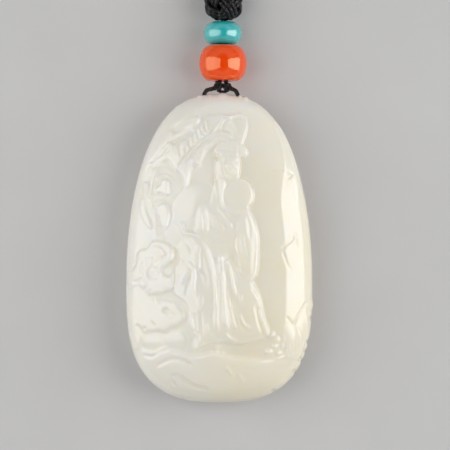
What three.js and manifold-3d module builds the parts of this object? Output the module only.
// Jade palm carving on its cord, lying face up.
// A white jade pebble pendant with an old scholar under a great leaf carved on its face,
// a coral bead, a turquoise bead, a woven button knot and the neck cord.
// Millimetres. +Z is the carved face, +Y points to the hanging hole, +X is the viewer's right.
// The origin is the middle of the flat spot that the jade rests on.

import * as THREE from 'three';
import { mergeVertices } from 'three/addons/utils/BufferGeometryUtils.js';
import Module from 'manifold-3d';

// Jade pebble: its outline is one closed form above its widest line and another below it
const JADE_HALF_WIDTH = 24.05;
const JADE_WIDEST_Y = -9.3;
const JADE_TOP_REACH = 49.1;
const JADE_BOTTOM_REACH = 30.5;
const JADE_MID_Z = 7.8;
const JADE_FACE_DEPTH = 11.0;
const JADE_BACK_DEPTH = 8.2;
const FACE_SHOULDER = 2.2;
const BACK_SHOULDER = 2.5;
const JADE_ROWS = 60;
const FACE_COLUMNS = 38;
const BACK_COLUMNS = 12;

// Carving, as heights over the polished pebble: a ground that follows the stone at the left and is
// cut flat at the right, where it meets the polished flank
const LEFT_GROUND_RIM = -0.3;
const LEFT_GROUND_FALL = 1.05;
const FLAT_GROUND_SHARE = 0.745;
const FLAT_GROUND_SWELL = 0.8;
const FLAT_GROUND_BEND = 1.9;
const FLANK_X = 17;
const SOFT_EDGE = 0.9;

// Hanging hole: an arc through the jade's upper end, with both mouths on the rim
const HOLE_CENTRE = new THREE.Vector3(0.45, 39.3, 7.6);
const HOLE_ARC_RADIUS = 4.35;
const HOLE_RADIUS = 1.55;

// Beads, knot and cords
const CORAL = { x: 0.94, y: 48.0, radius: 6.15, endRadius: 3.4, length: 9.2, bore: 1.9 };
const TURQUOISE = { x: 0.9, y: 55.9, radius: 4.95, endRadius: 2.6, length: 5.9, bore: 1.95 };
const KNOT = { x: 1.1, y: 63.6, radius: 5.35, endRadius: 2.9 };
const THREAD_DIAMETER = 1.15;
const THREAD_SPREAD = 0.8;
const LASHING_Y = 41.9;
const NECK_CORD_DIAMETER = 2.4;
const COIL_CENTRE = new THREE.Vector3(1.0, 96.0, 0);
const COIL_MID_RADIUS = 12.7;
const COIL_TURNS_PER_LAYER = 3.75;
const COIL_LAYERS = 2;
const TOUCH_GAP = 0.3;

// Materials
const WHITE_JADE = { color: 0xe6e2d3, roughness: 0.2, metalness: 0 };
const RED_CORAL = { color: 0xe8480e, roughness: 0.15, metalness: 0 };
const BLUE_TURQUOISE = { color: 0x2fa3a6, roughness: 0.3, metalness: 0 };
const BLACK_CORD = { color: 0x101012, roughness: 0.8, metalness: 0 };

const wasm = await Module();
wasm.setup();

function toManifold(geometry) {
  const plain = geometry.clone();
  plain.deleteAttribute('normal');
  plain.deleteAttribute('uv');
  const merged = mergeVertices(plain, 1e-4);
  return new wasm.Manifold(new wasm.Mesh({
    numProp: 3,
    vertProperties: new Float32Array(merged.attributes.position.array),
    triVerts: new Uint32Array(merged.index.array),
  }));
}

function toGeometry(solid) {
  const mesh = solid.getMesh();
  const geometry = new THREE.BufferGeometry();
  geometry.setAttribute('position', new THREE.BufferAttribute(new Float32Array(mesh.vertProperties), 3));
  geometry.setIndex(new THREE.BufferAttribute(new Uint32Array(mesh.triVerts), 1));
  geometry.computeVertexNormals();
  return geometry;
}

function smoothstep(low, high, value) {
  const t = Math.min(1, Math.max(0, (value - low) / (high - low)));
  return t * t * (3 - 2 * t);
}

// A smooth flat curve through a few points, as short straight steps
function curvePoints(points, steps, closed = false) {
  const curve = new THREE.CatmullRomCurve3(
    points.map(([x, y]) => new THREE.Vector3(x, y, 0)), closed, 'centripetal');
  const flat = curve.getPoints(steps).map((p) => [p.x, p.y]);
  return closed ? flat.slice(0, -1) : flat;
}

function segmentDistance(x, y, a, b) {
  const dx = b[0] - a[0];
  const dy = b[1] - a[1];
  const along = ((x - a[0]) * dx + (y - a[1]) * dy) / (dx * dx + dy * dy);
  const t = Math.min(1, Math.max(0, along));
  return [Math.hypot(x - a[0] - t * dx, y - a[1] - t * dy), t];
}

// Distance into a closed outline, negative outside it
function insideDistance(x, y, outline) {
  let nearest = Infinity;
  let inside = false;
  for (let i = 0, j = outline.length - 1; i < outline.length; j = i, i += 1) {
    const a = outline[j];
    const b = outline[i];
    nearest = Math.min(nearest, segmentDistance(x, y, a, b)[0]);
    const crosses = (a[1] > y) !== (b[1] > y);
    if (crosses && x < ((b[0] - a[0]) * (y - a[1])) / (b[1] - a[1]) + a[0]) inside = !inside;
  }
  return inside ? nearest : -nearest;
}

// A raised or sunken field with a soft edge and a slightly domed top
function field(points, level, dome = 0, edge = SOFT_EDGE) {
  const outline = curvePoints(points, points.length * 4, true);
  return (x, y, height) => {
    const depth = insideDistance(x, y, outline);
    const blend = smoothstep(-edge / 2, edge / 2, depth);
    const base = typeof level === 'function' ? level(x, y) : level;
    const top = base + dome * (1 - Math.exp(-Math.max(0, depth) / 2));
    return height + blend * (top - height);
  };
}

function groundLevel(x, y) {
  const crest = JADE_FACE_DEPTH * depthShare(y);
  const across = Math.min(1, Math.abs(x) / Math.max(1e-6, JADE_HALF_WIDTH * outlineShare(y)));
  const stone = crest * (1 - across ** FACE_SHOULDER) ** (1 / FACE_SHOULDER);
  const bend = FLAT_GROUND_BEND * smoothstep(10, 34, y) * (x / 14) ** 2;
  const flat = FLAT_GROUND_SHARE * crest + FLAT_GROUND_SWELL * (1 - (x / FLANK_X) ** 2) - bend;
  const fall = LEFT_GROUND_FALL * smoothstep(-22.5, -12, x) * (1 - 0.7 * smoothstep(28, 33, y));
  const left = LEFT_GROUND_RIM - fall;
  const share = smoothstep(-3, 4, x);
  return left + share * (Math.min(0, flat - stone) - left);
}

// An oval boss
function boss(cx, cy, rx, ry, level, dome) {
  return (x, y, height) => {
    const r = Math.hypot((x - cx) / rx, (y - cy) / ry);
    const blend = smoothstep(1.12, 0.88, r);
    return height + blend * (level + dome * Math.sqrt(Math.max(0, 1 - r * r)) - height);
  };
}

// A ridge, or with a negative height a groove, that thins out at both ends
function stroke(points, width, height) {
  const line = curvePoints(points, points.length * 3);
  return (x, y, base) => {
    let best = 0;
    for (let i = 1; i < line.length; i += 1) {
      const [distance, t] = segmentDistance(x, y, line[i - 1], line[i]);
      const along = (i - 1 + t) / (line.length - 1);
      const taper = Math.min(1, 4 * Math.sqrt(along * (1 - along)) + 0.2);
      const profile = Math.max(0, 1 - (distance / width) ** 2);
      best = Math.max(best, taper * profile * profile);
    }
    return base + height * best;
  };
}

// The carving, laid down from the ground up
const carving = [
  // sunken ground, from above the leaf to the stream bank
  field([[-4.6, 34.6], [0, 36.4], [5, 36.8], [10.2, 36], [15, 32], [18.2, 26], [21.2, 9], [21.8, -8],
    [20.4, -19], [19.4, -28.4], [-2, -28.6], [-15, -28.5], [-20, -25], [-23.2, -10], [-22.8, 6],
    [-19.6, 18], [-13.6, 25.4], [-10.4, 29.9]], groundLevel, 0, 3.4),
  // stream bank and waves
  field([[-19, -26], [-13, -24.5], [-6, -25.5], [4, -25.5], [14, -26], [18.6, -28.6], [12, -35],
    [0, -38.5], [-12, -35]], -0.35, 0.25),
  // boulders on the left
  field([[-20.6, -12.5], [-13, -12.5], [-9.4, -16.2], [-9.6, -19.5], [-13.5, -21], [-20, -21]], -0.16, 0.2),
  field([[-20.5, -21.5], [-14, -21.2], [-9.6, -21.5], [-8.2, -24.5], [-10.5, -27], [-19, -26.5]], -0.46, 0.25),
  // curled cloud rock
  field([[-18, 0.6], [-15.6, 1.7], [-12.9, 0.7], [-11.9, -2], [-13.2, -4.4], [-11.9, -7.5], [-12.8, -11],
    [-18.5, -11.6], [-22.2, -10.4], [-23.1, -6], [-21, -1]], -0.05, 0.2),
  // side frond
  field([[-17.5, 21.5], [-14.5, 18.9], [-11.6, 16.6], [-13, 13.6], [-12.9, 9.5], [-13.3, 6], [-14.6, 4.4],
    [-16.2, 2.8], [-18.2, 5.5], [-20.2, 8.6], [-20.2, 12.4], [-19.2, 17]], -0.1, 0.15),
  // great leaf
  field([[-5, 33.4], [-9.4, 32.4], [-13.6, 28.6], [-17.4, 22.2], [-13.4, 23], [-10.2, 19.2],
    [-8.2, 15.8], [-7.2, 20.2], [-5.2, 21], [-3.4, 25], [0.2, 27.6], [3.4, 28], [6.6, 27], [7.2, 32],
    [4.4, 34.2], [0, 34.6]], -0.4, 0.2),
  // robe and sleeves of the old scholar
  field([[-0.4, 16.6], [-3, 11.4], [-5.6, 8.6], [-6.2, 3.8], [-9.6, 5.6], [-10.4, 0], [-10.9, -4.8],
    [-11.4, -10], [-8, -13.2], [-7.4, -20], [-5.4, -23.6], [4, -24.2], [12.2, -22.6], [11.4, -17],
    [8.8, -8.6], [9.9, -4], [9.9, 3.4], [8.6, 7.6], [7, 10.4], [5.2, 17]], -0.75, 0.5),
  // head, cap and cap knob
  boss(2.6, 21.3, 3.4, 4.4, -0.6, 1.0),
  boss(2.4, 25.9, 3.9, 2.2, -0.25, 0.5),
  boss(6.5, 24.6, 1.4, 1.5, -0.4, 0.7),
  // round fan
  boss(4.75, 13.7, 4.25, 4.35, 0.02, 0.34),
  // pebbles and round stone
  boss(16.9, -23.8, 1.9, 4.1, -0.4, 0.8),
  boss(14.0, -22.9, 1.5, 1.2, -0.75, 0.7),
  boss(13.2, -25.8, 1.6, 1.3, -0.75, 0.7),
  // veins of the great leaf
  stroke([[-10.5, 20.3], [-6.5, 25.6], [-2, 28.8], [0.8, 33.5]], 0.9, 0.35),
  stroke([[-14.5, 26.5], [-12.5, 29.4], [-9.5, 30.3], [-5.2, 32.4]], 1.0, -0.45),
  stroke([[-10.3, 26.2], [-11.2, 22.2]], 0.9, -0.4),
  stroke([[-7.5, 28.6], [-8.4, 24.8]], 0.9, -0.4),
  stroke([[-4.6, 31], [-4.7, 28]], 0.9, -0.4),
  // frond stem
  stroke([[-15.5, 21], [-17.9, 14.5], [-17, 8.5], [-16, 3]], 0.9, -0.45),
  // rock curls
  stroke([[-17, 0.4], [-14.4, 0], [-13.7, -2], [-15.5, -3.6]], 0.8, -0.5),
  stroke([[-18.4, -5], [-16.8, -8], [-14.8, -7], [-15.6, -4.8]], 0.8, -0.5),
  stroke([[-22.4, -6.6], [-19.6, -7.6], [-18.4, -10.6]], 0.8, -0.4),
  // pit in the boulder
  stroke([[-14.3, -15.3], [-12, -16.8]], 1.2, -0.7),
  // collar, sleeve and robe folds
  stroke([[-0.6, 10.2], [1.3, 8.6], [3.2, 5.4]], 0.8, -0.4),
  stroke([[-4.1, 9.4], [-4.1, 5]], 0.9, -0.7),
  stroke([[-9.2, 6.2], [-8.1, 4.1], [-4.9, 2.7], [-2.6, -1], [-1.2, -7], [-1, -14.4]], 0.8, 0.45),
  stroke([[-7.6, -3.6], [-6.4, -8], [-5, -14.5]], 0.9, -0.4),
  stroke([[0.9, -5], [1.1, -12], [2.4, -21]], 0.9, 0.35),
  stroke([[7.4, 4], [6.6, -1], [7.6, -5.5]], 0.9, -0.35),
  stroke([[2.5, -4], [3.8, -11], [4.2, -19]], 0.9, -0.4),
  // waves of the stream
  stroke([[-19, -27.2], [-15, -26.2], [-11, -27.2], [-6.8, -29.2]], 0.9, -0.4),
  stroke([[-12, -32.5], [-8, -34.4], [-3, -35.8]], 0.9, -0.4),
];

function reliefHeight(x, y) {
  return carving.reduce((height, form) => form(x, y, height), 0);
}

// Half-width of the pebble's outline at a height, as a share of its full half-width
function outlineShare(y) {
  const above = y > JADE_WIDEST_Y;
  const reach = above ? JADE_TOP_REACH : JADE_BOTTOM_REACH;
  const t = Math.min(1, Math.abs(y - JADE_WIDEST_Y) / reach);
  return Math.max(0, 1 - t ** (above ? 2.1 : 3)) ** (1 / (above ? 2.6 : 2.7));
}

function depthShare(y) {
  const above = y > JADE_WIDEST_Y;
  const reach = above ? JADE_TOP_REACH : JADE_BOTTOM_REACH;
  const t = Math.min(1, Math.abs(y - JADE_WIDEST_Y) / reach);
  return Math.max(0, 1 - t ** 2.5) ** (1 / 2.4);
}

// Even steps along a curve given as a function from 0 to 1
function evenSteps(curve, count) {
  const fine = Array.from({ length: 801 }, (_, i) => curve(i / 800));
  const sums = [0];
  for (let i = 1; i < fine.length; i += 1) {
    sums.push(sums[i - 1] + Math.hypot(fine[i][0] - fine[i - 1][0], fine[i][1] - fine[i - 1][1]));
  }
  return Array.from({ length: count + 1 }, (_, k) => {
    const goal = (sums[800] * k) / count;
    let i = 1;
    while (i < 800 && sums[i] < goal) i += 1;
    const t = (goal - sums[i - 1]) / (sums[i] - sums[i - 1]);
    return fine[i - 1].map((value, n) => value + t * (fine[i][n] - value));
  });
}

// One cross-section of the pebble, x from -1 to 1 and z from 0 to 1, with a full boxy shoulder
function sectionHalf(power) {
  return (t) => {
    const angle = Math.PI * (1 - t);
    const c = Math.cos(angle);
    return [Math.sign(c) * Math.abs(c) ** (2 / power), Math.max(0, Math.sin(angle)) ** (2 / power)];
  };
}

function pebbleGeometry() {
  const scaled = (curve, sx, sy) => (t) => {
    const [x, y] = curve(t);
    return [x * sx, y * sy];
  };
  const face = evenSteps(scaled(sectionHalf(FACE_SHOULDER), JADE_HALF_WIDTH, JADE_FACE_DEPTH), FACE_COLUMNS);
  const back = evenSteps(scaled(sectionHalf(BACK_SHOULDER), JADE_HALF_WIDTH, JADE_BACK_DEPTH), BACK_COLUMNS);
  const ring = [
    ...face.slice(0, -1).map(([x, z]) => [x / JADE_HALF_WIDTH, z]),
    ...back.reverse().slice(0, -1).map(([x, z]) => [x / JADE_HALF_WIDTH, -z]),
  ];
  const low = JADE_WIDEST_Y - JADE_BOTTOM_REACH;
  const high = JADE_WIDEST_Y + JADE_TOP_REACH;
  const profile = (t) => {
    const y = low + (high - low) * (0.5 - 0.5 * Math.cos(Math.PI * t));
    return [JADE_HALF_WIDTH * outlineShare(y), y];
  };
  const rows = evenSteps(profile, JADE_ROWS).slice(1, -1);
  const base = rows.map(([halfWidth, y]) => ring.map(([sx, z]) => new THREE.Vector3(
    sx * halfWidth, y, JADE_MID_Z + z * depthShare(y))));
  const positions = [0, low, JADE_MID_Z, 0, high, JADE_MID_Z];
  const columns = ring.length;
  base.forEach((row, r) => row.forEach((point, c) => {
    const across = new THREE.Vector3().subVectors(row[(c + 1) % columns], row[(c + columns - 1) % columns]);
    const before = base[Math.max(0, r - 1)][c];
    const after = base[Math.min(base.length - 1, r + 1)][c];
    const normal = across.cross(new THREE.Vector3().subVectors(after, before)).normalize();
    const fade = smoothstep(0.2, 0.55, normal.z);
    const moved = point.clone();
    if (fade > 0) moved.addScaledVector(normal, fade * reliefHeight(point.x, point.y));
    positions.push(moved.x, moved.y, moved.z);
  }));
  const at = (r, c) => 2 + r * columns + (c % columns);
  const faces = [];
  for (let c = 0; c < columns; c += 1) {
    faces.push(0, at(0, c + 1), at(0, c));
    faces.push(1, at(base.length - 1, c), at(base.length - 1, c + 1));
    for (let r = 0; r + 1 < base.length; r += 1) {
      faces.push(at(r, c), at(r, c + 1), at(r + 1, c + 1));
      faces.push(at(r, c), at(r + 1, c + 1), at(r + 1, c));
    }
  }
  const geometry = new THREE.BufferGeometry();
  geometry.setAttribute('position', new THREE.BufferAttribute(new Float32Array(positions), 3));
  geometry.setIndex(faces);
  return geometry;
}

function tubeGeometry(points, diameter, sides, steps) {
  const section = new THREE.Shape();
  for (let i = 0; i < sides; i += 1) {
    const angle = (2 * Math.PI * (i + 0.5)) / sides;
    const x = (diameter / 2) * Math.cos(angle);
    const y = (diameter / 2) * Math.sin(angle);
    if (i === 0) section.moveTo(x, y);
    else section.lineTo(x, y);
  }
  section.closePath();
  const path = new THREE.CatmullRomCurve3(points.map((p) => new THREE.Vector3(...p)), false, 'centripetal');
  return new THREE.ExtrudeGeometry(section, { steps, extrudePath: path, curveSegments: 1 });
}

// Points of the half circle of the hanging hole, from the left mouth down and up to the right one
function hangingArc(steps, overrun) {
  const points = [];
  for (let i = 0; i <= steps; i += 1) {
    const angle = Math.PI * (1 + i / steps);
    points.push([
      HOLE_CENTRE.x + HOLE_ARC_RADIUS * Math.cos(angle),
      HOLE_CENTRE.y + HOLE_ARC_RADIUS * Math.sin(angle),
      HOLE_CENTRE.z,
    ]);
  }
  const [left, right] = [points[0], points[points.length - 1]];
  return [[left[0], left[1] + overrun, left[2]], ...points, [right[0], right[1] + overrun, right[2]]];
}

function jadeGeometry() {
  const pebble = toManifold(pebbleGeometry());
  // everything below the resting plane is cut away, which leaves a small flat spot
  const above = new THREE.BoxGeometry(80, 120, 60).translate(0, 0, 30);
  const hole = tubeGeometry(hangingArc(8, 3.5), 2 * HOLE_RADIUS, 10, 16);
  return toGeometry(pebble.intersect(toManifold(above)).subtract(toManifold(hole)));
}

// A barrel turned about Y, with rounded shoulders and a bore right through
function barrelGeometry({ radius, endRadius, length, bore }, segments) {
  const half = length / 2;
  const chamfer = 0.3;
  const profile = [[bore, chamfer - half], [bore + chamfer, -half]];
  const rings = 9;
  for (let i = 0; i <= rings; i += 1) {
    const angle = Math.PI * (i / rings - 0.5);
    const swell = Math.max(0, Math.cos(angle));
    profile.push([endRadius + (radius - endRadius) * swell, half * Math.sin(angle)]);
  }
  profile.push([bore + chamfer, half], [bore, half - chamfer], [bore, chamfer - half]);
  return new THREE.LatheGeometry(profile.map(([x, y]) => new THREE.Vector2(x, y)), segments);
}

function knotGeometry({ radius, endRadius }) {
  const start = Math.asin(endRadius / radius);
  const profile = [[0, -radius * Math.cos(start)]];
  const rings = 10;
  for (let i = 0; i <= rings; i += 1) {
    const angle = start + ((Math.PI - 2 * start) * i) / rings;
    profile.push([radius * Math.sin(angle), -radius * Math.cos(angle)]);
  }
  profile.push([0, radius * Math.cos(start)]);
  return new THREE.LatheGeometry(profile.map(([x, y]) => new THREE.Vector2(x, y)), 20);
}

// The neck cord's coil, as the ring that its turns fill
function coilGeometry() {
  const band = (COIL_TURNS_PER_LAYER * NECK_CORD_DIAMETER) / 2 + NECK_CORD_DIAMETER / 2;
  const inner = COIL_MID_RADIUS - band;
  const outer = COIL_MID_RADIUS + band;
  const top = COIL_LAYERS * NECK_CORD_DIAMETER;
  const round = 0.8;
  const profile = [
    [inner + round, 0], [outer - round, 0], [outer, round], [outer, top - round],
    [outer - round, top], [inner + round, top], [inner, top - round], [inner, round], [inner + round, 0],
  ];
  const ring = new THREE.LatheGeometry(profile.map(([x, y]) => new THREE.Vector2(x, y)), 40);
  return ring.rotateX(Math.PI / 2);
}

function named(name, geometry, look) {
  const mesh = new THREE.Mesh(geometry, new THREE.MeshStandardMaterial(look));
  mesh.name = name;
  return mesh;
}

const object = new THREE.Group();

object.add(named('jade_carving', jadeGeometry(), WHITE_JADE));

const coral = named('coral_bead', barrelGeometry(CORAL, 24), RED_CORAL);
coral.position.set(CORAL.x, CORAL.y, CORAL.radius);
object.add(coral);

const turquoise = named('turquoise_bead', barrelGeometry(TURQUOISE, 20), BLUE_TURQUOISE);
turquoise.position.set(TURQUOISE.x, TURQUOISE.y, TURQUOISE.radius);
object.add(turquoise);

const knot = named('button_knot', knotGeometry(KNOT), BLACK_CORD);
knot.position.set(KNOT.x, KNOT.y, KNOT.radius);
object.add(knot);

// Hanging cord: out of the knot, down through both beads, through the jade and back beside itself
const knotReach = Math.sqrt(KNOT.radius ** 2 - KNOT.endRadius ** 2);
const down = (side) => [
  [KNOT.x + side * THREAD_SPREAD, KNOT.y - knotReach - TOUCH_GAP, KNOT.radius],
  [TURQUOISE.x + side * THREAD_SPREAD, TURQUOISE.y - 1, TURQUOISE.radius],
  [CORAL.x + side * THREAD_SPREAD, CORAL.y + CORAL.length / 2, CORAL.radius],
  [CORAL.x + side * THREAD_SPREAD, CORAL.y - CORAL.length / 2, CORAL.radius],
  [CORAL.x + side * (THREAD_SPREAD + 0.35), LASHING_Y, CORAL.radius + 0.4],
  [HOLE_CENTRE.x + side * (HOLE_ARC_RADIUS - 0.6), 40.8, 7.2],
];
const hanging = [...down(-1), ...hangingArc(6, 0.3), ...down(1).reverse()];
object.add(named('hanging_cord', tubeGeometry(hanging, THREAD_DIAMETER, 8, 64), BLACK_CORD));

// Neck cord: two runs from the knot's upper end to a round coil of the rest of its length
const leftRun = [
  [-0.25, 68.4, 5.35], [-1.0, 72.2, 4.7], [-4.5, 75.6, 3.2], [-10.2, 79.0, 1.8], [-15.7, 84.4, 1.25],
];
const rightRun = [
  [2.45, 68.4, 5.35], [3.6, 72.2, 4.6], [7.0, 75.7, 3.0], [12.4, 79.2, 2.4], [17.7, 84.4, 2.9],
];
object.add(named('neck_cord_run_left', tubeGeometry(leftRun, NECK_CORD_DIAMETER, 8, 8), BLACK_CORD));
object.add(named('neck_cord_run_right', tubeGeometry(rightRun, NECK_CORD_DIAMETER, 8, 8), BLACK_CORD));
const coil = named('neck_cord_coil', coilGeometry(), BLACK_CORD);
coil.position.copy(COIL_CENTRE);
object.add(coil);

export default object;
